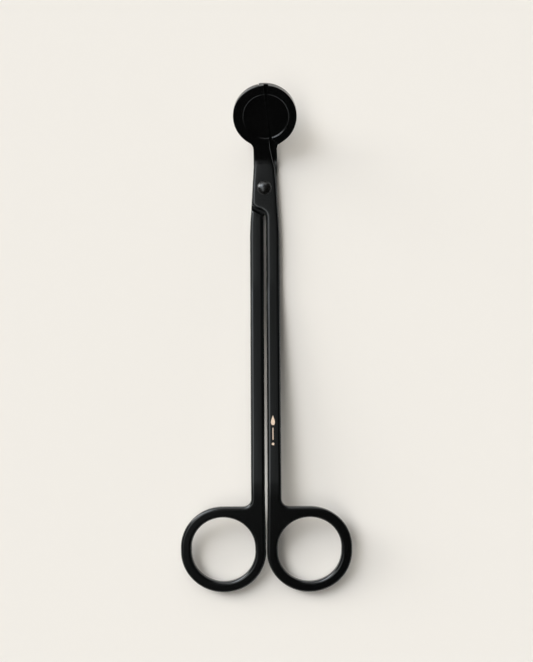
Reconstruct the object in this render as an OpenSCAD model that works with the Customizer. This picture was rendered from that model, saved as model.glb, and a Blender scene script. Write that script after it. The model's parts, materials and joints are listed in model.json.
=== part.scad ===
// Wick trimmer: two bent levers with finger rings, lapped at a riveted pivot, that end in a tilted
// two-part cutting disc. It lies closed on its back, with the disc rising at the +Y end.
// Each lever is worked out round the pivot and then moved so that the origin is under the middle
// of the whole tool.

/* [Lever] */
// Thickness of a lever where it is whole
lever_t = 3.1; // [2.6:0.1:3.6]
// Distance from the pivot to the centre of a finger ring
handle_reach = 126.9; // [116:0.1:134]
// Distance from the middle of the tool to the outer edge of an arm
arm_out = 5.25; // [5.05:0.05:6]
// Width of the slit between the two arms
arm_gap = 0.9; // [0.6:0.1:1.4]

/* [Finger rings] */
// Outer radius of a finger ring
ring_r = 14.9; // [14:0.1:17]
// Radius of the finger hole
hole_r = 11.1; // [10:0.1:12]
// How far each half of a ring and its hole is drawn out along the handle
ring_stretch = 0.75; // [0.1:0.05:1.5]
// Gap between the two rings when the tool is closed
ring_gap = 0.3; // [0.2:0.1:0.8]
// Radius of the inside corner between an arm and its ring
ring_fillet = 2.8; // [2:0.1:4]

/* [Bends of the handles] */
// Distance from the pivot to the end of the flat part that rests on the table
flat_end = 33.8; // [28:0.1:40]
// Distance from the pivot to the crest of the handles
crest_reach = 104.1; // [98:0.1:108]
// Height of the underside at the crest
crest_h = 8; // [2:0.1:10]

/* [Cutting disc] */
// Radius of the cutting disc
disc_r = 10.95; // [10:0.05:12]
// Tilt of the disc above the flat part of the tool
disc_tilt = 33; // [20:1:40]
// Distance along the slope from the end of the bend to the centre of the disc
disc_reach = 15.85; // [15:0.05:18]
// Radius of the shallow dish in the disc
dish_r = 7.95; // [6:0.05:8.5]
// Depth of the dish
dish_depth = 0.45; // [0.3:0.05:0.9]
// How far the lower blade reaches under the upper blade
blade_lap = 1.6; // [1:0.1:2.4]

/* [Neck] */
// Distance from the pivot to the start of the bend
bend_start = 8.8; // [8:0.05:11]
// Inner radius of the bend
bend_r = 1.5; // [1:0.1:2]
// Distance from the pivot's line to the left edge of the neck
neck_left = 3.8; // [3.4:0.05:4.1]
// Distance from the pivot's line to the right edge of the neck
neck_right = 4.45; // [4.1:0.05:4.7]
// Radius of the inside corner between the neck and the disc
neck_fillet = 3; // [1.5:0.1:3.4]

/* [Pivot] */
// Radius of the rivet's shank
shank_r = 1.5; // [1.2:0.05:1.8]
// Radius of the rivet's domed head
rivet_head_r = 2.55; // [2.3:0.05:3]
// Height of the rivet's domed head
rivet_head_h = 1.25; // [0.8:0.05:1.6]
// Radius of the peened tail, flush with the underside
tail_r = 2.3; // [2:0.05:2.6]
// Depth of the tail's countersink
tail_h = 0.8; // [0.5:0.05:1]
// Clearance round the shank in the front lever
bore_clear = 0.05; // [0.03:0.01:0.08]
// Clearance between the two lapped faces
lap_clear = 0.05; // [0.03:0.01:0.1]

/* [Hidden] */
$fn = 96;
coat = [0.02, 0.02, 0.021];
rivet_coat = [0.04, 0.038, 0.035];
cut_over = 1; // cutters run this far past the faces that they cut
far = 60; // past every edge of the disc and neck
slope_lap = 1; // the level part and the slope share this much of the neck

// The bend and the disc
disc_x = 0.25;
dish_x = 0.6;
bend_axis_z = lever_t + bend_r;
disc_end_y = bend_start + (disc_reach + disc_r) * cos(disc_tilt) + bend_axis_z * sin(disc_tilt);
ring_x = ring_r + ring_gap / 2;
ring_end_y = -handle_reach - ring_stretch - ring_r;
shift_y = -(disc_end_y + ring_end_y) / 2;

// The cutting edge of the upper blade is a straight line, a little askew to the tool
edge_top = [-0.5, 35];
edge_bottom = [1.74, 16.2];
edge_under_clear = 0.3;

// The lapped faces are level round the pivot and rise as a cone where the neck slopes, so that
// they slide on each other at every angle
lap_z = lever_t / 2;
lap_level_r = bend_start + bend_r * tan(disc_tilt / 2) + lap_z * tan(disc_tilt / 2);
lap_far_z = lap_z + (far - lap_level_r) * tan(disc_tilt);

// Below the pivot each lapped half ends in an S-curve beside the other lever's arm
lap_slope = 19;
lap_corner_r = 3;
lap_corner = [arm_gap / 2 - lap_corner_r, -10.55];
lap_middle = [-3, -7.2];
lap_start = [-5.6, -5.25];

// The step where the front lever's lapped face ends below the pivot, from left to right; the back
// lever's is its mirror image
lap_foot = [[-far, -10.9], [0.2, -10.7], [arm_out + cut_over, -7.2], [far, -7.2]];

// Stations along the tool: the arms draw in towards the pivot from waist_y, the neck has its full
// width from neck_y, and the lapped face ends under the disc's left half at under_neck_y and on the
// disc's right half at over_neck_y
waist_y = -17;
neck_y = 7.5;
under_neck_y = 15.4;
over_neck_y = 14.3;

// A point at an angle on a circle, and points along an arc
function on_circle(centre, r, angle) = centre + r * [cos(angle), sin(angle)];
function arc(centre, r, from, to, steps = 12) =
    [for (i = [0:steps]) on_circle(centre, r, from + (to - from) * i / steps)];

// A plan shape as a column that runs past the top and bottom of the tool
module column() {
    translate([0, 0, -cut_over]) linear_extrude(far) children();
}

// The frame of the sloping neck and disc: X across, Y up the slope, Z from its underside
module on_slope() {
    translate([0, bend_start, bend_axis_z]) rotate([disc_tilt, 0, 0]) translate([0, 0, -bend_axis_z])
        children();
}

// Outline of a finger ring or its hole: a circle whose halves are drawn apart along the handle
module long_circle(r, steps = 32) {
    polygon(concat(
        arc([ring_x, -handle_reach + ring_stretch], r, 0, 180, steps),
        arc([ring_x, -handle_reach - ring_stretch], r, 180, 360, steps)
    ));
}

// Plan of one handle, on the +X side: arm, web and ring
module handle_plan() {
    top_y = -handle_reach + ring_stretch + ring_r;
    corner = [arm_out + ring_fillet, top_y + ring_fillet];
    polygon(concat(
        [[arm_gap / 2, lap_corner.y], [arm_gap / 2, -crest_reach], [ring_gap / 2, -handle_reach]],
        [[ring_x, -handle_reach], [ring_x, top_y]],
        arc(corner, ring_fillet, 270, 180),
        [[arm_out, waist_y], [4.9, -12], [4.9, lap_corner.y]]
    ));
    long_circle(ring_r);
}

// Side view of the handles, extruded across the tool
module handle_band() {
    low = [
        [ring_end_y - cut_over, 0], [ring_end_y, 0], [-crest_reach, crest_h], [-flat_end, 0], [cut_over, 0]
    ];
    high = [for (i = [len(low) - 1:-1:0]) low[i] + [0, lever_t]];
    translate([-far, 0, 0]) rotate([90, 0, 90]) linear_extrude(2 * far) polygon(concat(low, high));
}

// One handle with its finger hole, on the +X side
module handle() {
    difference() {
        intersection() {
            column() handle_plan();
            handle_band();
        }
        column() long_circle(hole_r);
    }
}

// Plan of both levers together, from the tops of the arms to past the bend
module shank_plan() {
    past_bend = bend_start + disc_reach / 2;
    polygon([
        [-arm_out, waist_y], [-5.05, -12], [-4.75, -8], [-4.4, -2], [-4.1, 3], [-neck_left, neck_y],
        [-neck_left, past_bend], [neck_right, past_bend],
        [neck_right, neck_y], [4.25, 4], [4.35, -1], [4.6, -6], [5, -12], [arm_out, waist_y]
    ]);
}

// Wedge with a round side that blends the neck's edge into the disc; side is -1 or 1
module disc_fillet(side, neck_w) {
    reach_x = neck_w + neck_fillet - side * disc_x;
    rise_y = sqrt(pow(disc_r + neck_fillet, 2) - pow(reach_x, 2));
    centre = [side * (neck_w + neck_fillet), disc_reach - rise_y];
    difference() {
        polygon([[side * neck_w, centre.y], centre, [disc_x, disc_reach]]);
        translate(centre) circle(neck_fillet);
    }
}

// Plan of both halves of the neck and disc together, in the frame of the slope
module disc_plan() {
    translate([disc_x, disc_reach]) circle(disc_r);
    translate([-neck_left, slope_lap]) square([neck_left + neck_right, disc_reach - slope_lap]);
    disc_fillet(-1, neck_left);
    disc_fillet(1, neck_right);
}

// Side view of the pivot and the bend, extruded across the tool; it laps the foot of the slope
module bend_band() {
    centre = [bend_start, bend_axis_z];
    foot_y = waist_y - cut_over;
    up_slope = 2 * slope_lap * [cos(disc_tilt), sin(disc_tilt)];
    low = concat([[foot_y, 0]], arc(centre, bend_r + lever_t, 270, 270 + disc_tilt, 6));
    high = concat(arc(centre, bend_r, 270 + disc_tilt, 270, 6), [[foot_y, lever_t]]);
    translate([-far, 0, 0]) rotate([90, 0, 90]) linear_extrude(2 * far)
        polygon(concat(low, [low[len(low) - 1] + up_slope, high[0] + up_slope], high));
}

// Both levers together above the arms, before they are parted
module upper_blank() {
    difference() {
        union() {
            intersection() {
                bend_band();
                column() shank_plan();
            }
            on_slope() linear_extrude(lever_t) disc_plan();
        }
        on_slope() translate([dish_x, disc_reach, lever_t - dish_depth]) cylinder(r = dish_r, h = lever_t);
    }
}

// Everything under the lapped faces, or over them when raised, as a solid of revolution
module under_lap(clear) {
    rotate_extrude() polygon([
        [0, -cut_over], [far, -cut_over], [far, lap_far_z + clear],
        [lap_level_r, lap_z + clear], [0, lap_z + clear]
    ]);
}
module over_lap(clear) {
    rotate_extrude() polygon([
        [0, lap_z - clear], [lap_level_r, lap_z - clear], [far, lap_far_z - clear],
        [far, 2 * far], [0, 2 * far]
    ]);
}

// Points of the S-curve that ends a lapped half below the pivot, from the outer edge inwards
function lap_end() = concat([lap_start, lap_middle], arc(lap_corner, lap_corner_r, 90 - lap_slope, 0));

// Plan of the front lever above its handle: the left of the disc, the neck and the pivot
module front_area() {
    polygon(concat(
        [[-far, edge_top.y], [-far, lap_start.y]],
        lap_end(),
        [[arm_gap / 2, waist_y], [far, waist_y], [far, -1], [4.35, -1], [4.15, 2], [3.8, 6.6]],
        [[3.05, 9.7], [2.17, 13.3]],
        [edge_bottom, edge_top]
    ));
}

// Where the front lever is relieved from below, down to the lapped face
module front_relief() {
    under = [blade_lap + edge_under_clear, 0];
    polygon(concat(
        [edge_top - under, edge_bottom - under, [-2.4, under_neck_y], [-far, under_neck_y]],
        lap_foot,
        [[far, edge_top.y]]
    ));
}

// Plan of the back lever above its handle: the right of the disc, the neck and the pivot
module back_area() {
    under = [blade_lap, 0];
    polygon(concat(
        [[far, edge_top.y], [far, lap_start.y]],
        [for (p = lap_end()) [-p.x, p.y]],
        [[-arm_gap / 2, waist_y], [-far, waist_y], [-far, neck_y], [-neck_left, neck_y]],
        [[-2.4, 11], [-0.9, 14.2]],
        [edge_bottom - under, edge_top - under]
    ));
}

// Where the back lever is relieved from above; its disc ends at a step just past the cutting edge
module back_relief() {
    polygon(concat(
        [[1.6, edge_top.y], [1.15, 26.6], [2.65, 16.2], [5.4, over_neck_y], [far, over_neck_y]],
        [for (p = lap_foot) [-p.x, p.y]],
        [[-far, edge_top.y]]
    ));
}

module front_lever() {
    color(coat) translate([0, shift_y, 0]) difference() {
        union() {
            intersection() {
                upper_blank();
                column() front_area();
            }
            handle();
        }
        intersection() {
            under_lap(lap_clear / 2);
            column() front_relief();
        }
        translate([0, 0, -cut_over]) cylinder(r = shank_r + bore_clear, h = far);
    }
}

module back_lever() {
    color(coat) translate([0, shift_y, 0]) difference() {
        union() {
            intersection() {
                upper_blank();
                column() back_area();
            }
            mirror([1, 0, 0]) handle();
        }
        intersection() {
            over_lap(lap_clear / 2);
            column() back_relief();
        }
        translate([0, 0, -cut_over]) cylinder(r = shank_r, h = far);
        cylinder(r1 = tail_r, r2 = shank_r, h = tail_h);
    }
}

module pivot_rivet() {
    dome_r = (pow(rivet_head_r, 2) + pow(rivet_head_h, 2)) / (2 * rivet_head_h);
    color(rivet_coat) translate([0, shift_y, 0]) {
        cylinder(r = shank_r, h = lever_t + lap_clear);
        cylinder(r1 = tail_r, r2 = shank_r, h = tail_h);
        translate([0, 0, lever_t + lap_clear]) intersection() {
            cylinder(r = rivet_head_r, h = rivet_head_h);
            translate([0, 0, rivet_head_h - dome_r]) sphere(dome_r);
        }
    }
}

front_lever();
back_lever();
pivot_rivet();
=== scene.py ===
import json
import math

import bmesh
import bpy
import numpy as np
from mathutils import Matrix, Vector
from mathutils.geometry import delaunay_2d_cdt, intersect_line_sphere_2d


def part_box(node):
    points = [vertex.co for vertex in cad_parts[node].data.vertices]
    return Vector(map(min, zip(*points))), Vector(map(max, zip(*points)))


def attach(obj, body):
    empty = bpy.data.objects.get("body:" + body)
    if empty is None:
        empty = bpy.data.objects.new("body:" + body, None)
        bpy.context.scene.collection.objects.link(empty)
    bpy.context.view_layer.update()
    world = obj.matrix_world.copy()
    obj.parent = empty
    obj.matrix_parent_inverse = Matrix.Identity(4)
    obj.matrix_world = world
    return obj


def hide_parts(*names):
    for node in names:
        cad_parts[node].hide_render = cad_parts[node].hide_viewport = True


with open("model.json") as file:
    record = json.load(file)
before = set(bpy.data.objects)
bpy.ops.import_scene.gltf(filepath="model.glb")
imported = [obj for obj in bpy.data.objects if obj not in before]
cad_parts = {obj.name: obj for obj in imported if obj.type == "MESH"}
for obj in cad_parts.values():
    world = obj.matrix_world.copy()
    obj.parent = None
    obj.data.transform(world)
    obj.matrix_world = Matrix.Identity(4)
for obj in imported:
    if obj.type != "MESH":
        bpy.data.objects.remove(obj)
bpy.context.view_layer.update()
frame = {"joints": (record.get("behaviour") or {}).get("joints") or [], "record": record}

# The looks of a wick trimmer. Both levers are rebuilt as rounded plates: an outline and its relief
# steps are laid out flat, in x across and s along the lever, and then bent to its side view.
# Shapes are worked out in millimetres round the pivot, as the solids are; MM turns them to metres.
MM = 0.001


def in_mm(point, origin=Vector()):
    return (Vector(point) - origin) / MM


# ---- Places that the frame gives ----
PIVOT = Vector(frame["joints"][0]["pos_m"])
HOLES = {o["name"]: in_mm((Vector(o["box_m"][0]) + Vector(o["box_m"][1])) / 2, PIVOT)
         for o in frame["record"]["physics"]["openings"]}
RING = HOLES["right_finger_hole"].xy
FRONT_LOW, FRONT_HIGH = (in_mm(corner, PIVOT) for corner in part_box("front_lever"))
RIVET_HIGH = in_mm(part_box("pivot_rivet")[1], PIVOT)
RING_R = FRONT_HIGH.x - RING.x
HANDLE_END = FRONT_LOW.y
RING_STRETCH = RING.y - RING_R - HANDLE_END

# ---- Lever ----
THICK = 3.1
HOLE_R = 11.1
ARM_OUT = 5.25
ARM_IN = 0.45
WEB_R = 2.8

# Edges of the section round the pivot, from the arms up to the neck
SHANK_LEFT = ((-5.05, -12), (-4.75, -8), (-4.4, -2), (-4.1, 3))
SHANK_RIGHT = ((4.25, 4), (4.35, -1), (4.6, -6), (5.0, -12))
SHANK_FOOT = -17
NECK_FOOT = 7.5

# Inner edges of the two necks, in plan from the disc down, and the front lever's right shoulder
FRONT_NECK = ((2.17, 13.3), (3.05, 9.7))
FRONT_SHOULDER = ((3.8, 6.6), (4.15, 2))
BACK_NECK = ((-0.9, 14.2), (-2.4, 11))

# ---- Side view: crest and foot of the handle, bend of the neck ----
CREST = (-104.1, 8.0)
FOOT = -33.8
BEND_BLEND = 3.0
BEND_S = 8.35
BEND_R = 3.0
MID_R = BEND_R + THICK / 2
TILT = math.radians(33)
BEND_LEN = MID_R * TILT
BEND_Z = THICK + BEND_R
SLOPE_S = BEND_S + BEND_LEN

# ---- Top face: a swell at the bend and a slight crown across the arms ----
SWELL = 0.1
SWELL_LEN = 6.0
CROWN = 0.12
CROWN_WIDTH = 1.9
CROWN_FADE = 12.0
CROWN_TOP = SLOPE_S + 1

# ---- Disc ----
DISC = Vector((0.25, SLOPE_S + 15.4))
DISC_R = 10.95
DISH = Vector((0.6, DISC.y))
DISH_R = 7.95
DISH_DEPTH = 0.45
DISH_LIP = 0.07
BLADE_LAP = 1.6
NECK_LEFT = 3.8
NECK_RIGHT = 4.45
NECK_FILLET = 3.0

# ---- Rivet and its bore ----
SHANK_R = 1.5
SHANK_Z = 0.8
BORE_CLEAR = 0.05
HEAD_CLEAR = 0.05
BRIM = 0.12
BRIM_EDGE = 0.2
DOME_PARTS = 16
# The peened tail from the shank outwards and back to the middle, as (radius, height)
TAIL = ((2.3, 0.06), (2.22, 0.0), (1.75, 0.0), (1.6, 0.07), (1.1, 0.1), (0.4, 0.08), (0, 0.08))

# ---- Lapped faces and their steps ----
LAP_Z = THICK / 2
LAP_CLEAR = 0.03
UNDER_CLEAR = 0.3
S_CORNER = Vector((-2.55, -10.55))
S_CORNER_R = 3.0
S_START = Vector((-5.6, -5.25))
S_MIDDLE = Vector((-3.0, -7.2))
S_ANGLE = math.radians(71)
SHEER = 0.02
STEP_SLOPE = 1.1
STEP_OUTER = -7.2
STEP_INNER = -10.7
STEP_END = -10.9
STEP_ACROSS = 0.2
FAR = 30.0
# Where the laps end at the disc, in plan: the front lever's corner under the disc's left half, and
# the back lever's step from its outer edge up the disc
FRONT_LAP_CORNER = (-2.4, 15.4)
BACK_LAP_STEP = ((FAR, 14.3), (5.4, 14.3), (2.65, 16.2), (1.15, 26.6), (1.6, 35))

# ---- Radii of the rounded edges ----
ROUND_HANDLE = 0.95
ROUND_PIVOT = 0.85
ROUND_S = 1.05
ROUND_RIM = 0.28
ROUND_BLADE = 0.1
ROUND_LAP = 0.05
ROUND_STEP = 0.08
ROUND_UNDER_STEP = 0.1
BLADE_GROWTH = 0.15
ROUND_UNDER_DISC = 0.95
ROUND_PARTS = 4

# ---- Mesh: spacing of the points, along the arcs first ----
EDGE_STEP = 1.0
WEB_STEP = 0.5
RING_STEP = 0.8
HOLE_STEP = 0.7
BORE_STEP = 0.3
FILLET_STEP = 0.4
DISC_STEP = 0.6
DISH_STEP = 0.45
S_STEP = 0.25
RELIEF_STEP = 0.6
GRID_STEP = 1.15
BEND_STEP = 0.6
BEND_ROWS = 11
EDGE_GUARD = 0.4
LINE_GUARD = 0.3


# ================= side view =================
def ramp(t, blend):
    """max(0, t) with its corner rounded over blend on each side."""
    return np.where(t < -blend, 0, np.where(t > blend, t, (t + blend) ** 2 / (4 * blend)))


def base_height(s):
    """Height of the underside of a lever below the bend."""
    fall = CREST[1] / (CREST[0] - HANDLE_END)
    rise = -CREST[1] / (FOOT - CREST[0])
    return (fall * (s - HANDLE_END) + (rise - fall) * ramp(s - CREST[0], BEND_BLEND)
            - rise * ramp(s - FOOT, BEND_BLEND))


def slope_angle(s):
    return np.clip((s - BEND_S) / BEND_LEN, 0, 1) * TILT


def side_view(s, w):
    """Place (y, z) of the point w above the underside, s along the lever."""
    angle = slope_angle(s)
    up = np.maximum(s - SLOPE_S, 0)
    radius = BEND_Z - w
    y = np.minimum(s, BEND_S) + radius * np.sin(angle) + up * math.cos(TILT)
    z = np.where(s < BEND_S, base_height(np.minimum(s, BEND_S)) + w,
                 BEND_Z - radius * np.cos(angle) + up * math.sin(TILT))
    return y, z


def along(y):
    """The s at which a lever's top face has this y."""
    if y <= BEND_S:
        return y
    slope_y = BEND_S + BEND_R * math.sin(TILT)
    if y < slope_y:
        return BEND_S + BEND_LEN * math.asin((y - BEND_S) / BEND_R) / TILT
    return SLOPE_S + (y - slope_y) / math.cos(TILT)


def flat(points):
    """Plan points of the top face, laid out flat; any further values of a point are kept."""
    return [(p[0], along(p[1]), *p[2:]) for p in points]


def lap_profile(r):
    """Height and slope of the lapped faces, a surface of revolution round the pivot."""
    bend_end = BEND_S + MID_R * math.sin(TILT)
    bend_top = BEND_Z - MID_R * math.cos(TILT)
    on_arc = np.clip(r - BEND_S, 0, bend_end - BEND_S)
    arc_z = BEND_Z - np.sqrt(MID_R ** 2 - on_arc ** 2)
    slope = on_arc / np.sqrt(MID_R ** 2 - on_arc ** 2)
    return np.where(r > bend_end, bend_top + (r - bend_end) * math.tan(TILT), arc_z), slope


def lap_height(x, s, clear):
    """Height w at which the lever's own upright at (x, s) meets the lapped face."""
    angle = slope_angle(s)
    w = np.full_like(x, LAP_Z)
    for _ in range(6):
        y, z = side_view(s, w)
        r = np.hypot(x, y)
        goal, slope = lap_profile(r)
        turn = np.cos(angle) + slope * np.sin(angle) * y / np.maximum(r, 1e-6)
        w = w + (goal + clear - z) / turn
    return w


# ================= plane geometry =================
def arc(centre, radius, start, stop, step=EDGE_STEP, value=()):
    count = max(3, math.ceil(abs(stop - start) * radius / step))
    angles = [start + (stop - start) * i / count for i in range(count + 1)]
    return [(centre[0] + radius * math.cos(a), centre[1] + radius * math.sin(a), *value)
            for a in angles]


def meet(a, b, c, d):
    """Where the line through a and b meets the line through c and d."""
    (ax, ay), (bx, by), (cx, cy), (dx, dy) = a[:2], b[:2], c[:2], d[:2]
    cross = (bx - ax) * (dy - cy) - (by - ay) * (dx - cx)
    t = ((cx - ax) * (dy - cy) - (cy - ay) * (dx - cx)) / cross
    return Vector((ax + t * (bx - ax), ay + t * (by - ay)))


def refine(points, closed, step=EDGE_STEP):
    """The line as an array, with points added where they are far apart or the lever bends."""
    made = []
    ends = points[1:] + points[:1] if closed else points[1:]
    for a, b in zip(points, ends):
        a, b = np.array(a, float), np.array(b, float)
        bending = min(a[1], b[1]) < SLOPE_S + 0.2 and max(a[1], b[1]) > BEND_S - 0.2
        parts = max(1, math.ceil(np.hypot(*(b - a)[:2]) / (step / 4 if bending else step)))
        made += [a + (b - a) * i / parts for i in range(parts)]
    return np.array(made if closed else made + [np.array(points[-1], float)])


def normals(line, closed):
    """Unit normals to the left of the line, lengthened at corners."""
    ahead = np.roll(line[:, :2], -1, 0) - line[:, :2]
    if not closed:
        ahead[-1] = ahead[-2]
    ahead /= np.maximum(np.linalg.norm(ahead, axis=1, keepdims=True), 1e-9)
    behind = np.roll(ahead, 1, 0)
    if not closed:
        behind[0] = ahead[0]
    left = np.stack([-(ahead + behind)[:, 1], (ahead + behind)[:, 0]], 1)
    left /= np.maximum(np.linalg.norm(left, axis=1, keepdims=True), 1e-9)
    cosine = np.clip(left[:, 1] * ahead[:, 0] - left[:, 0] * ahead[:, 1], 0.6, 1)
    return left / cosine[:, None]


def shifted(line, amount, closed):
    return line[:, :2] + normals(line, closed) * np.reshape(amount, (-1, 1))


def nearest(points, line, closed):
    """Distance from each point to the line, and the line's values at the nearest place."""
    a = line if closed else line[:-1]
    b = np.roll(line, -1, 0) if closed else line[1:]
    span = b[:, :2] - a[:, :2]
    length2 = np.maximum((span ** 2).sum(1), 1e-12)
    distance, values = [], []
    for block in np.array_split(points, max(1, len(points) // 1500)):
        away = block[:, None, :] - a[None, :, :2]
        t = np.clip((away * span).sum(2) / length2, 0, 1)
        gap2 = ((away - t[..., None] * span) ** 2).sum(2)
        best = gap2.argmin(1)
        row = np.arange(len(block))
        distance.append(np.sqrt(gap2[row, best]))
        values.append(a[best, 2:] + t[row, best, None] * (b[best, 2:] - a[best, 2:]))
    return np.concatenate(distance), np.concatenate(values)


def inside(points, polygon):
    """Which points lie in the polygon."""
    a = polygon[:, :2]
    b = np.roll(a, -1, 0)
    hits = []
    for block in np.array_split(points, max(1, len(points) // 1500)):
        x, y = block[:, :1], block[:, 1:2]
        spans = (a[:, 1] > y) != (b[:, 1] > y)
        rise = np.where(b[:, 1] == a[:, 1], 1, b[:, 1] - a[:, 1])
        crossing = a[:, 0] + (y - a[:, 1]) * (b[:, 0] - a[:, 0]) / rise
        hits.append((spans & (x < crossing)).sum(1) % 2 == 1)
    return np.concatenate(hits)


def edge_drop(distance, radius):
    """How far a rounded edge falls below its face, at a distance in from the wall."""
    reach = np.clip(radius - distance, 0, radius)
    return radius - np.sqrt(np.maximum(radius ** 2 - reach ** 2, 0))


# ================= relief =================
class Relief:
    """The lapped stretch of a lever: two steps across it, with the lapped face between them.

    Each step's points hold the width of its wall and the radius of its edge on the lever's face. The
    lapped face lies to the left of both steps, and outline is the whole stretch, past the edges of
    the lever."""

    def __init__(self, upper, lower, outline):
        self.steps = [refine(step, False, RELIEF_STEP) for step in (upper, lower)]
        self.area = np.array([p[:2] for p in outline])

    def lines(self):
        """Lines that the mesh follows, so that it carries the steps' shape."""
        for step in self.steps:
            wall, edge = step[:, 2], step[:, 3]
            yield step[:, :2]
            yield shifted(step, wall, False)
            for part in (0.3, 0.7, 1):
                yield shifted(step, -edge * part, False)
            wide = wall > 0.3
            if wide.any():
                for part in (0.14, 0.28, 0.42, 0.58, 0.72, 0.86):
                    yield shifted(step, wall * part, False)[wide]

    def depth(self, points):
        """0 on the lever's face to 1 on the lapped face, and how far the step's edge falls."""
        within = inside(points, self.area)
        gaps, values = zip(*(nearest(points, step, False) for step in self.steps))
        first = gaps[0] < gaps[1]
        gap = np.where(first, gaps[0], gaps[1])
        wall, edge = np.where(first[:, None], values[0], values[1]).T
        t = np.clip(gap / np.maximum(wall, 1e-6), 0, 1)
        deep = np.where(within & (gap > 0.25 * SHEER), 0.5 - 0.5 * np.cos(math.pi * t), 0)
        return deep, np.where(deep == 0, edge_drop(gap, edge), 0)


# ================= plates =================
def swell(s):
    """How far the top face stands up where it turns into the slope, as a soft hollow corner does."""
    half_bend = BEND_LEN / 2
    away = np.abs(s - BEND_S - half_bend)
    crown = SWELL * (SWELL_LEN + half_bend - away ** 2 / half_bend) / 2
    skirt = SWELL * np.maximum(half_bend + SWELL_LEN - away, 0) ** 2 / (2 * SWELL_LEN)
    return np.where(away < half_bend, crown, skirt)


def crown_drop(gap, s):
    """How far the top face falls from its crowned middle to its edges; disc and rings stay flat."""
    share = np.clip(1 - gap / CROWN_WIDTH, 0, 1) ** 2
    on_arm = np.clip((s - CREST[0]) / CROWN_FADE, 0, 1)
    return CROWN * share * on_arm * np.clip((CROWN_TOP - s) / BEND_LEN, 0, 1)


def dish_drop(points):
    """Depth of the dish below the top face: a small round lip, then a cove down to the floor."""
    r = np.hypot(points[:, 0] - DISH.x, points[:, 1] - DISH.y)
    cove = DISH_DEPTH - DISH_LIP
    on_lip = np.clip(DISH_R + DISH_LIP - r, 0, DISH_LIP)
    on_cove = np.clip(r - DISH_R + cove, 0, cove)
    lip = DISH_LIP - np.sqrt(np.maximum(DISH_LIP ** 2 - on_lip ** 2, 0))
    side = DISH_LIP + np.sqrt(np.maximum(cove ** 2 - on_cove ** 2, 0))
    return np.where(r >= DISH_R, lip, side)


def dish_lines():
    """Circles that carry the dish's profile."""
    cove = DISH_DEPTH - DISH_LIP
    quarter = [math.radians(a) for a in (0, 22.5, 45, 67.5, 90)]
    radii = [DISH_R + DISH_LIP * (1 - math.sin(a)) for a in quarter]
    radii += [DISH_R - cove * (1 - math.cos(a)) for a in quarter[1:]]
    for radius in [*radii, DISH_R - cove - 0.3]:
        ring = arc(DISH, radius, 0, 2 * math.pi, DISH_STEP)[:-1]
        yield np.array(ring)


def grid(outline):
    """Points spread over the inside of a plate, closer together where it bends."""
    low, high = outline[:, :2].min(0), outline[:, :2].max(0)
    rows = [(s, GRID_STEP) for s in np.arange(low[1], high[1], GRID_STEP)
            if not BEND_S - BEND_STEP < s < SLOPE_S + BEND_STEP]
    bend = np.linspace(BEND_S - BEND_STEP / 2, SLOPE_S + BEND_STEP / 2, BEND_ROWS)
    rows += [(s, BEND_STEP) for s in bend]
    points = [(x + (i % 2) * gap / 2, s)
              for i, (s, gap) in enumerate(rows) for x in np.arange(low[0], high[0], gap)]
    return np.array(points)


def edge_rings(loop):
    """The loop and the lines inside it that carry its rounded edge."""
    radius = loop[:, 2]
    yield loop[:, :2]
    for part in range(1, ROUND_PARTS + 1):
        reach = 1 - math.cos(math.pi / 2 * part / ROUND_PARTS)
        yield shifted(loop, radius * reach, True)
    yield shifted(loop, radius + 0.12, True)


def under_radius(radius, under_rim):
    """Radius of the lower edge, which on the disc's rim differs from the upper edge's."""
    return np.where(radius <= ROUND_RIM, radius * under_rim / ROUND_RIM, radius)


def under_rings(loop, under_rim):
    """Further lines inside the loop that carry a lower edge wider than the upper one."""
    radius = loop[:, 2]
    if under_rim > ROUND_RIM:
        for part in (0.7, 1):
            reach = np.maximum(under_radius(radius, under_rim) * part, radius + 0.25)
            yield shifted(loop, reach, True)


def turned(loop, left):
    """The loop, going round so that the metal lies to its left."""
    x, y = loop[:, 0], loop[:, 1]
    area = (x * np.roll(y, -1) - y * np.roll(x, -1)).sum()
    return loop if (area > 0) == left else loop[::-1]


def mesh_lines(loops, reliefs, under_rim):
    """Every line that a plate's mesh follows, each with whether it is closed."""
    lines = [(ring, True) for loop in loops for ring in edge_rings(loop)]
    lines += [(ring, True) for ring in under_rings(loops[0], under_rim)]
    lines += [(ring, True) for ring in dish_lines()]
    for relief in reliefs:
        if relief:
            lines += [(line, False) for line in relief.lines()]
    return lines


def line_edges(lines):
    """Pairs of neighbouring points along the lines, numbered right through."""
    edges, first = [], 0
    for line, closed in lines:
        count = len(line)
        ends = count if closed else count - 1
        edges += [(first + i, first + (i + 1) % count) for i in range(ends)]
        first += count
    return edges


def loose_points(loops, lines):
    """Grid points inside the plate that lie clear of its edges and lines."""
    loose = grid(loops[0])
    loose = loose[inside(loose, loops[0])]
    for loop in loops:
        gap, radius = nearest(loose, loop, True)
        loose = loose[gap > radius[:, 0] + EDGE_GUARD]
    for line, closed in lines:
        loose = loose[nearest(loose, line, closed)[0] > LINE_GUARD]
    return loose


def plate(name, outline, holes, top_relief=None, bottom_relief=None, under_rim=ROUND_RIM):
    """A lever's whole skin from its flat outline, bent to the side view."""
    loops = [turned(outline, True)] + [turned(hole, False) for hole in holes]
    lines = mesh_lines(loops, (top_relief, bottom_relief), under_rim)
    points = [line for line, _ in lines] + [loose_points(loops, lines)]
    flat_points = [Vector(p) for p in np.concatenate(points)]
    verts, _, faces, *_ = delaunay_2d_cdt(flat_points, line_edges(lines), [], 0, 1e-5, False)
    verts = np.array([v[:] for v in verts])
    faces = np.array(faces)
    middles = verts[faces].mean(1)
    keep = inside(middles, loops[0])
    for hole in loops[1:]:
        keep &= ~inside(middles, hole)
    used, faces = np.unique(faces[keep], return_inverse=True)
    return skin(name, verts[used], faces.reshape(-1, 3), loops, top_relief, bottom_relief, under_rim)


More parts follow.
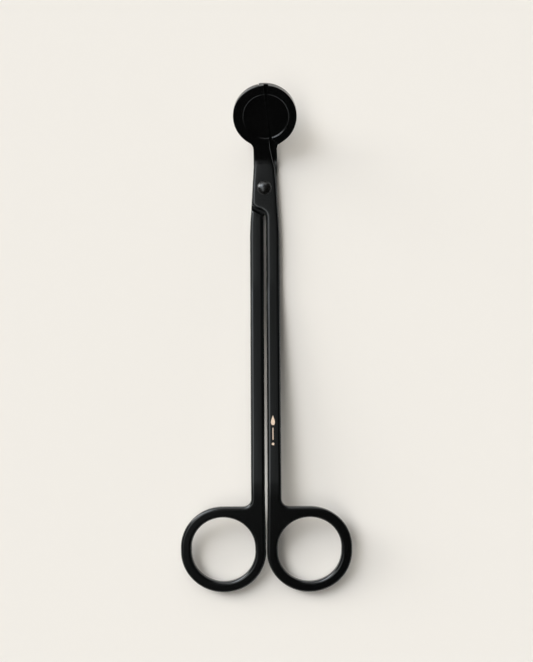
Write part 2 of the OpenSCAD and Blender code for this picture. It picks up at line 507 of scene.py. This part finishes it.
def face_height(points, x, s, relief, sign, clear, body, rounding):
    """Height of one face of a plate; sign is 1 for the top and -1 for the underside."""
    lapped = np.zeros(len(points))
    fall = np.zeros(len(points))
    if relief:
        lapped, fall = relief.depth(points)
    gap, radius = rounding
    edge_r = radius + (np.minimum(radius, ROUND_LAP) - radius) * lapped
    height = body - sign * fall
    height = height + (lap_height(x, s, clear) - height) * lapped
    return height - sign * edge_drop(gap, edge_r)


def shell_faces(faces, count):
    """The top's triangles, the same ones turned over for the underside, and the wall's quads."""
    sides = {}
    for a, b, c in faces:
        for edge in ((a, b), (b, c), (c, a)):
            sides[edge] = sides.get(edge[::-1], 0) + 1
    rim = [edge for edge in sides if edge[::-1] not in sides]
    shell = [tuple(f) for f in faces] + [(c + count, b + count, a + count) for a, b, c in faces]
    shell += [(b, a, a + count, b + count) for a, b in rim]
    return [tuple(int(i) for i in f) for f in shell]


def skin(name, verts, faces, loops, top_relief, bottom_relief, under_rim):
    """Both faces and the wall of a plate as one mesh object."""
    x, s = verts.T
    gaps, radii = zip(*(nearest(verts, loop, True) for loop in loops))
    pick = np.argmin(gaps, 0)
    row = np.arange(len(verts))
    rounding = np.array(gaps)[pick, row], np.array(radii)[pick, row, 0]
    under = rounding[0], under_radius(rounding[1], under_rim)
    top_body = THICK - dish_drop(verts) - crown_drop(gaps[0], s) + swell(s)
    top = face_height(verts, x, s, top_relief, 1, -LAP_CLEAR, top_body, rounding)
    bottom = face_height(verts, x, s, bottom_relief, -1, LAP_CLEAR, np.zeros(len(verts)), under)

    places = []
    for height in (top, bottom):
        y, z = side_view(s, height)
        places.append(np.stack([x * MM + PIVOT.x, y * MM + PIVOT.y, z * MM], 1))
    mesh = bpy.data.meshes.new(name)
    mesh.from_pydata(np.concatenate(places).tolist(), [], shell_faces(faces, len(verts)))
    # Nearness to a rounded edge: the coat paints a lighter edge highlight from it and polishes the edge.
    edge_sheen_and_polish = mesh.attributes.new("edge_sheen_and_polish", "FLOAT", "POINT")
    near = np.clip(1 - rounding[0] / np.maximum(rounding[1], 1e-6), 0, 1)
    edge_sheen_and_polish.data.foreach_set("value", np.concatenate([near, near]).astype(np.float32))
    mesh.validate()
    mesh.shade_smooth()
    mesh.set_sharp_from_angle(angle=math.radians(33))
    piece = new_piece(name, mesh)
    weighted = piece.modifiers.new("weighted_normals", "WEIGHTED_NORMAL")
    weighted.keep_sharp = True
    weighted.weight = 60
    return piece


def new_piece(name, data):
    piece = bpy.data.objects.new(name, data)
    bpy.context.scene.collection.objects.link(piece)
    return piece


# ================= outlines =================
def ring_centres():
    """Centres of the two half circles of a slightly long ring."""
    return (RING.x, RING.y + RING_STRETCH), (RING.x, RING.y - RING_STRETCH)


def handle_outline(side):
    """One handle from the outer edge of its arm, round its ring and up the inner edge of its arm."""
    r = (ROUND_HANDLE,)
    upper, lower = ring_centres()
    corner = (ARM_OUT + WEB_R, upper[1] + RING_R + WEB_R)
    points = [(ARM_OUT, SHANK_FOOT, *r)]
    points += arc(corner, WEB_R, math.pi, 1.5 * math.pi, WEB_STEP, r)
    points += arc(upper, RING_R, math.pi / 2, 0, RING_STEP, r)
    points += arc(lower, RING_R, 0, -math.pi, RING_STEP, r)
    points += [(ARM_IN, CREST[0], *r)]
    return [(side * p[0], *p[1:]) for p in points]


def hole_outline(side):
    upper, lower = ring_centres()
    points = arc(upper, HOLE_R, 0, math.pi, HOLE_STEP, (ROUND_HANDLE,))
    points += arc(lower, HOLE_R, math.pi, 2 * math.pi, HOLE_STEP, (ROUND_HANDLE,))
    return np.array([(side * x, s, radius) for x, s, radius in points])


def bore_outline():
    """The front lever's bore, which turns on the rivet's shank."""
    return np.array(arc((0, 0), SHANK_R + BORE_CLEAR, 0, 2 * math.pi, BORE_STEP, (ROUND_LAP,))[:-1])


def neck_corner(side, neck):
    """Centre of the round corner between the neck and the disc, and the angle that it turns."""
    reach = neck + NECK_FILLET - side * DISC.x
    rise = math.sqrt((DISC_R + NECK_FILLET) ** 2 - reach ** 2)
    return Vector((side * (neck + NECK_FILLET), DISC.y - rise)), math.atan2(rise, reach)


def s_curve():
    """The S-shaped end of a lapped half, from its outer edge to the slit between the arms."""
    return [tuple(S_START), tuple(S_MIDDLE)] + arc(S_CORNER, S_CORNER_R, S_ANGLE, 0, S_STEP)


def on_disc(a, b):
    """Where the line from a to b crosses the disc's rim at its top."""
    hits = intersect_line_sphere_2d(Vector(a[:2]), Vector(b[:2]), DISC, DISC_R, False)
    return max(hits, key=lambda p: p.y)


def graded(points, radius):
    return [(p[0], p[1], radius) for p in points]


EDGE_TOP, EDGE_BOTTOM = flat([(-0.5, 35), (1.74, 16.2)])


def front_outline():
    """The left half of the disc, the neck, the pivot section and the right handle."""
    end = s_curve()
    start = meet(end[0], end[1], SHANK_LEFT[1], SHANK_LEFT[2])
    corner, turn = neck_corner(-1, NECK_LEFT)
    tip = on_disc(EDGE_TOP, EDGE_BOTTOM)
    to_corner = math.atan2(corner.y - DISC.y, corner.x - DISC.x) + 2 * math.pi
    to_tip = math.atan2(tip.y - DISC.y, tip.x - DISC.x)
    points = [(*start, ROUND_S)]
    points += graded([*SHANK_LEFT[2:], (-NECK_LEFT, NECK_FOOT)], ROUND_PIVOT)
    points += arc(corner, NECK_FILLET, 0, turn, FILLET_STEP, (ROUND_RIM,))
    points += arc(DISC, DISC_R, to_corner, to_tip, DISC_STEP, (ROUND_RIM,))[1:]
    points += [(*EDGE_BOTTOM, ROUND_BLADE)]
    points += graded(flat(FRONT_NECK), ROUND_PIVOT)
    points += graded([*FRONT_SHOULDER, *SHANK_RIGHT[1:]], ROUND_PIVOT)
    points += handle_outline(1)
    points += graded(end[:0:-1], ROUND_S)
    return blade_radius(points, tip)


def back_outline():
    """The right half of the disc, the lower blade, the pivot section and the left handle."""
    end = [(-x, s) for x, s in s_curve()]
    start = meet(end[0], end[1], SHANK_RIGHT[1], SHANK_RIGHT[2])
    corner, turn = neck_corner(1, NECK_RIGHT)
    under = [(x - BLADE_LAP, s) for x, s in (EDGE_TOP, EDGE_BOTTOM)]
    tip = on_disc(*under)
    to_corner = math.atan2(corner.y - DISC.y, corner.x - DISC.x)
    to_tip = math.atan2(tip.y - DISC.y, tip.x - DISC.x)
    points = [(*start, ROUND_PIVOT)]
    points += graded([*SHANK_RIGHT[1::-1], (NECK_RIGHT, NECK_FOOT)], ROUND_PIVOT)
    points += arc(corner, NECK_FILLET, math.pi, math.pi - turn, FILLET_STEP, (ROUND_RIM,))
    points += arc(DISC, DISC_R, to_corner, to_tip, DISC_STEP, (ROUND_RIM,))[1:]
    points += graded([under[1]], ROUND_BLADE)
    points += graded(flat(BACK_NECK), ROUND_RIM)
    points += graded([(-NECK_LEFT, NECK_FOOT), *SHANK_LEFT[::-1]], ROUND_PIVOT)
    points += handle_outline(-1)
    points += graded(end[:0:-1], ROUND_S)
    return blade_radius(points, tip)


def blade_radius(points, tip):
    """The outline as an array, with the rim's radius cut down where it meets the blade's tip."""
    made = refine(points, True)
    near = np.hypot(made[:, 0] - tip.x, made[:, 1] - tip.y)
    made[:, 2] = np.minimum(made[:, 2], ROUND_BLADE + BLADE_GROWTH * near)
    return made


def stepped(points, wall, edge):
    return [(x, s, wall, edge) for x, s in points]


def front_relief():
    """The front lever's underside, cut away where it laps over the back lever."""
    reach = BLADE_LAP + UNDER_CLEAR
    upper = [(EDGE_TOP[0] - reach, EDGE_TOP[1]), (EDGE_BOTTOM[0] - reach, EDGE_BOTTOM[1])]
    upper += flat([FRONT_LAP_CORNER, (-FAR, FRONT_LAP_CORNER[1])])
    lower = [(-FAR, STEP_END), (STEP_ACROSS, STEP_INNER), (ARM_OUT + 1, STEP_OUTER), (FAR, STEP_OUTER)]
    outline = upper + lower + [(FAR, EDGE_TOP[1])]
    return Relief(stepped(upper, SHEER, ROUND_UNDER_STEP), stepped(lower, STEP_SLOPE, 0), outline)


def back_relief():
    """The back lever's top, cut away under the front lever and along the cutting edge."""
    upper = flat(BACK_LAP_STEP)
    lower = [(-FAR, STEP_OUTER), (-ARM_OUT - 1, STEP_OUTER), (-STEP_ACROSS, STEP_INNER), (FAR, STEP_END)]
    outline = upper + [(-FAR, EDGE_TOP[1])] + lower
    return Relief(stepped(upper, SHEER, ROUND_STEP), stepped(lower, STEP_SLOPE, 0), outline)


# ================= materials =================
def new_material(name, colour, roughness):
    material = bpy.data.materials.new(name)
    material.use_nodes = True
    tree = material.node_tree
    shader = tree.nodes["Principled BSDF"]
    shader.inputs["Base Color"].default_value = (*colour, 1)
    shader.inputs["Roughness"].default_value = roughness
    shader.inputs["IOR"].default_value = 1.52
    shader.inputs["Specular Tint"].default_value = (0.9, 1.0, 1.12, 1)
    return material, tree, shader


def add_node(tree, kind, **values):
    node = tree.nodes.new(kind)
    for key, value in values.items():
        if key in node.inputs:
            node.inputs[key].default_value = value
        else:
            setattr(node, key, value)
    return node


def coat_material(name, dark, light, roughness):
    """Satin black coating: faint mottling, fine orange peel, polish and a painted highlight on the
    edges.
    """
    material, tree, shader = new_material(name, dark, roughness)
    link = tree.links.new
    place = add_node(tree, "ShaderNodeTexCoord")
    mottle = add_node(tree, "ShaderNodeTexNoise", Scale=140.0, Detail=3.0)
    peel = add_node(tree, "ShaderNodeTexNoise", Scale=1300.0, Detail=2.0)
    edge_sheen_and_polish = add_node(tree, "ShaderNodeAttribute", attribute_name="edge_sheen_and_polish")
    for noise in (mottle, peel):
        link(place.outputs["Object"], noise.inputs["Vector"])
    # Mottling plus a painted edge highlight: the colour lightens near the rounded edges.
    tone = add_node(tree, "ShaderNodeMix", data_type="RGBA")
    tone.inputs["A"].default_value = (*dark, 1)
    tone.inputs["B"].default_value = (*light, 1)
    mottle_and_sheen = add_node(tree, "ShaderNodeMath", operation="MULTIPLY_ADD")
    mottle_and_sheen.inputs[1].default_value = 0.5
    link(edge_sheen_and_polish.outputs["Fac"], mottle_and_sheen.inputs[0])
    half = add_node(tree, "ShaderNodeMath", operation="MULTIPLY")
    half.inputs[1].default_value = 0.5
    link(mottle.outputs["Fac"], half.inputs[0])
    link(half.outputs[0], mottle_and_sheen.inputs[2])
    link(mottle_and_sheen.outputs[0], tone.inputs["Factor"])
    link(tone.outputs["Result"], shader.inputs["Base Color"])
    gloss = add_node(tree, "ShaderNodeMapRange")
    gloss.inputs["To Min"].default_value = roughness + 0.04
    gloss.inputs["To Max"].default_value = roughness - 0.05
    link(mottle_and_sheen.outputs[0], gloss.inputs["Value"])
    link(gloss.outputs["Result"], shader.inputs["Roughness"])
    bump = add_node(tree, "ShaderNodeBump", Strength=0.12, Distance=0.00003)
    link(peel.outputs["Fac"], bump.inputs["Height"])
    link(bump.outputs["Normal"], shader.inputs["Normal"])
    return material


def print_material(thin, full):
    """Pale rose-gold ink, a little uneven where the print is thin."""
    material, tree, shader = new_material("print_rose_gold", full, 0.45)
    place = add_node(tree, "ShaderNodeTexCoord")
    speckle = add_node(tree, "ShaderNodeTexNoise", Scale=2600.0, Detail=2.0)
    tree.links.new(place.outputs["Object"], speckle.inputs["Vector"])
    tone = add_node(tree, "ShaderNodeMix", data_type="RGBA")
    tone.inputs["A"].default_value = (*thin, 1)
    tone.inputs["B"].default_value = (*full, 1)
    tree.links.new(speckle.outputs["Fac"], tone.inputs["Factor"])
    tree.links.new(tone.outputs["Result"], shader.inputs["Base Color"])
    return material


def floor_material():
    material, _, shader = new_material("floor_paper", (0.83, 0.835, 0.84), 0.95)
    shader.inputs["Specular IOR Level"].default_value = 0.0
    return material


# ================= rivet and ornament =================
def lathe(name, profile, segments=72):
    """A turned piece from (radius, height) points round the pivot's axis."""
    shape = bmesh.new()
    rings = []
    for radius, height in profile:
        middle = Vector((PIVOT.x, PIVOT.y, height * MM))
        if radius < 1e-6:
            rings.append([shape.verts.new(middle)])
            continue
        ring = []
        for i in range(segments):
            a = 2 * math.pi * i / segments
            ring.append(shape.verts.new(middle + radius * MM * Vector((math.cos(a), math.sin(a), 0))))
        rings.append(ring)
    for low, high in zip(rings, rings[1:]):
        for i in range(segments):
            j = (i + 1) % segments
            corners = [ring[k % len(ring)] for ring, k in ((low, i), (low, j), (high, j), (high, i))]
            shape.faces.new(list(dict.fromkeys(corners)))
    bmesh.ops.recalc_face_normals(shape, faces=shape.faces)
    mesh = bpy.data.meshes.new(name)
    shape.to_mesh(mesh)
    shape.free()
    mesh.shade_smooth()
    mesh.set_sharp_from_angle(angle=math.radians(40))
    return new_piece(name, mesh)


def rivet():
    """The rivet: domed head on a short neck, shank, and a peened tail flush with the underside."""
    head_r = RIVET_HIGH.x
    head_z = THICK + HEAD_CLEAR
    rise = RIVET_HIGH.z - head_z - BRIM
    dome_r = (head_r ** 2 + rise ** 2) / (2 * rise)
    dome = [(dome_r * math.sin(a), RIVET_HIGH.z - dome_r * (1 - math.cos(a)))
            for a in np.linspace(0, math.asin(head_r / dome_r), DOME_PARTS)]
    brim = [(head_r, head_z + BRIM * 0.6), (head_r - BRIM / 2, head_z + BRIM / 6)]
    shank = [(head_r - BRIM_EDGE, head_z), (SHANK_R, head_z), (SHANK_R, SHANK_Z)]
    return lathe("rivet_head_and_tail", [*dome, *brim, *shank, *TAIL])


PRINT_X = 2.45
PRINT_LIFT = 0.012
DROP_S = -81.3
DROP_HALF_LONG = 1.7
DROP_HALF_WIDE = 0.95
DROP_TAPER = 0.7
DROP_POINTS = 28
HAIRLINE = (-88.0, -83.9)
HAIRLINE_HALF = 0.16
DOT_S = -89.4
DOT_R = 0.45


def drop_shape():
    """A drop with its round end down: wide where the turn is far from its point."""
    for i in range(DROP_POINTS):
        a = 2 * math.pi * i / DROP_POINTS
        fullness = (0.5 - 0.5 * math.cos(a)) ** DROP_TAPER
        yield PRINT_X + DROP_HALF_WIDE * math.sin(a) * fullness, DROP_S + DROP_HALF_LONG * math.cos(a)


def ornament():
    """Printed mark on the right arm: a drop, a hairline and a dot, with no lettering."""
    low, high = HAIRLINE
    left, right = PRINT_X - HAIRLINE_HALF, PRINT_X + HAIRLINE_HALF
    hairline = [(left, low), (right, low), (right, high), (left, high)]
    dot = arc((PRINT_X, DOT_S), DOT_R, 0, 2 * math.pi, 0.15)[:-1]
    verts, faces = [], []
    for outline in (list(drop_shape()), hairline, dot):
        first = len(verts)
        x, s = np.array(outline).T
        y, z = side_view(s, np.full_like(s, THICK + PRINT_LIFT))
        verts += [(a * MM + PIVOT.x, b * MM + PIVOT.y, c * MM) for a, b, c in zip(x, y, z)]
        faces.append(list(range(first, len(verts))))
    mesh = bpy.data.meshes.new("printed_ornament")
    mesh.from_pydata(verts, [], faces)
    return new_piece("printed_ornament", mesh)


# ================= camera, floor and light =================
CAMERA_HEIGHT = 330.0
CAMERA_AIM = Vector((0.41, -50.42))
CAMERA_TURN = math.radians(-0.33)
VIEW_HEIGHT = math.radians(39.24)
SENSOR = 36.0
FLOOR_HALF = 3.0
FLOOR_GAP = 0.0001
KEY_AZIMUTH = 139
KEY_ELEVATION = 43
KEY_WIDTH = math.radians(28)
KEY_STRENGTH = 1.22
KEY_COLOUR = (1.0, 1.0, 1.0)
ROOM_COLOUR = (1.015, 0.955, 0.855)
# Bright places in the room: azimuth, elevation, reach in degrees, strength
ROOM_LOBES = (
    (120, 36, 24, 3.0),
    (148, 26, 20, 3.0),
    (150, 15, 17, 11.5),
    (85, 30, 28, 1.9),
    (172, 62, 22, 2.8),
    (186, 80, 11, 1.0),
    (228, 60, 17, 2.2),
    (75, 78, 16, 0.2),
)
# The pale wall all round: elevations where it has faded out and where it is full, and its level
WALL_FADE = (17, 7)
WALL_LEVEL = 0.85
# The dim level all round, to which the bright places and the wall are added
ROOM_LEVEL = 0.006


def camera():
    data = bpy.data.cameras.new("camera")
    data.sensor_width = SENSOR
    data.lens = SENSOR / 2 / math.tan(VIEW_HEIGHT / 2)
    data.clip_start = 0.01
    made = new_piece("camera", data)
    above = Vector((*CAMERA_AIM, CAMERA_HEIGHT)) * MM
    made.location = (PIVOT.x + above.x, PIVOT.y + above.y, above.z)
    made.rotation_euler = (0, 0, CAMERA_TURN)
    bpy.context.scene.camera = made


def floor():
    mesh = bpy.data.meshes.new("floor")
    half = FLOOR_HALF
    corners = [(-half, -half, 0), (half, -half, 0), (half, half, 0), (-half, half, 0)]
    mesh.from_pydata(corners, [], [(0, 1, 2, 3)])
    made = new_piece("floor", mesh)
    made.location.z = -FLOOR_GAP
    made.data.materials.append(floor_material())


def heading(azimuth, elevation):
    """Unit vector towards a place in the room; azimuth 0 is +X and 90 is +Y."""
    a, e = math.radians(azimuth), math.radians(elevation)
    return Vector((math.cos(a) * math.cos(e), math.sin(a) * math.cos(e), math.sin(e)))


def key_light():
    """The softbox: a broad far light that falls evenly on the whole floor."""
    data = bpy.data.lights.new("key", "SUN")
    data.energy = KEY_STRENGTH
    data.angle = KEY_WIDTH
    data.color = KEY_COLOUR
    made = new_piece("key", data)
    made.rotation_mode = "QUATERNION"
    made.rotation_quaternion = heading(KEY_AZIMUTH, KEY_ELEVATION).to_track_quat("Z", "Y")
    made.location.z = 1


def bright_places():
    """Where each place in the room is, the dot products where it starts and is full, its level."""
    for azimuth, elevation, reach, strength in ROOM_LOBES:
        yield heading(azimuth, elevation), math.cos(math.radians(reach)), 1.0, strength
    fade_start, fade_end = (math.sin(math.radians(elevation)) for elevation in WALL_FADE)
    yield Vector((0, 0, 1)), fade_start, fade_end, WALL_LEVEL


def studio():
    """The room's own light: a dim level all round, with soft bright places added to it."""
    world = bpy.data.worlds.new("studio")
    bpy.context.scene.world = world
    world.use_nodes = True
    tree = world.node_tree
    background = tree.nodes["Background"]
    background.inputs["Color"].default_value = (*ROOM_COLOUR, 1)
    link = tree.links.new
    place = add_node(tree, "ShaderNodeTexCoord")
    total = None
    for middle, none_at, full_at, strength in bright_places():
        toward = add_node(tree, "ShaderNodeVectorMath", operation="DOT_PRODUCT")
        toward.inputs[1].default_value = middle
        link(place.outputs["Generated"], toward.inputs[0])
        spread = add_node(tree, "ShaderNodeMapRange", interpolation_type="SMOOTHERSTEP")
        spread.inputs["From Min"].default_value = none_at
        spread.inputs["From Max"].default_value = full_at
        spread.inputs["To Max"].default_value = strength
        link(toward.outputs["Value"], spread.inputs["Value"])
        added = add_node(tree, "ShaderNodeMath", operation="ADD")
        link(spread.outputs["Result"], added.inputs[0])
        if total:
            link(total, added.inputs[1])
        else:
            added.inputs[1].default_value = ROOM_LEVEL
        total = added.outputs[0]
    link(total, background.inputs["Strength"])


# ================= the scene =================
coat = coat_material("coat_satin_black", (0.001, 0.0011, 0.0011), (0.0024, 0.0025, 0.0026), 0.22)
rivet_coat = coat_material("rivet_black", (0.004, 0.0038, 0.0036), (0.009, 0.0085, 0.008), 0.25)
ink = print_material((0.6, 0.47, 0.38), (0.8, 0.66, 0.55))

front = plate("front_lever_skin", front_outline(), [hole_outline(1), bore_outline()],
              bottom_relief=front_relief(), under_rim=ROUND_UNDER_DISC)
back = plate("back_lever_skin", back_outline(), [hole_outline(-1)], top_relief=back_relief())
pin = rivet()
mark = ornament()
for piece, material, slot, body in ((front, coat, "coat", "front"), (back, coat, "coat", "back"),
                                    (pin, rivet_coat, "rivet", "back"), (mark, ink, "print", "front")):
    piece.data.materials.append(material)
    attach(piece, body)
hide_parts("front_lever")
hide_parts("back_lever")
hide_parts("pivot_rivet")

camera()
floor()
key_light()
studio()
bpy.context.scene.view_settings.view_transform = "Standard"
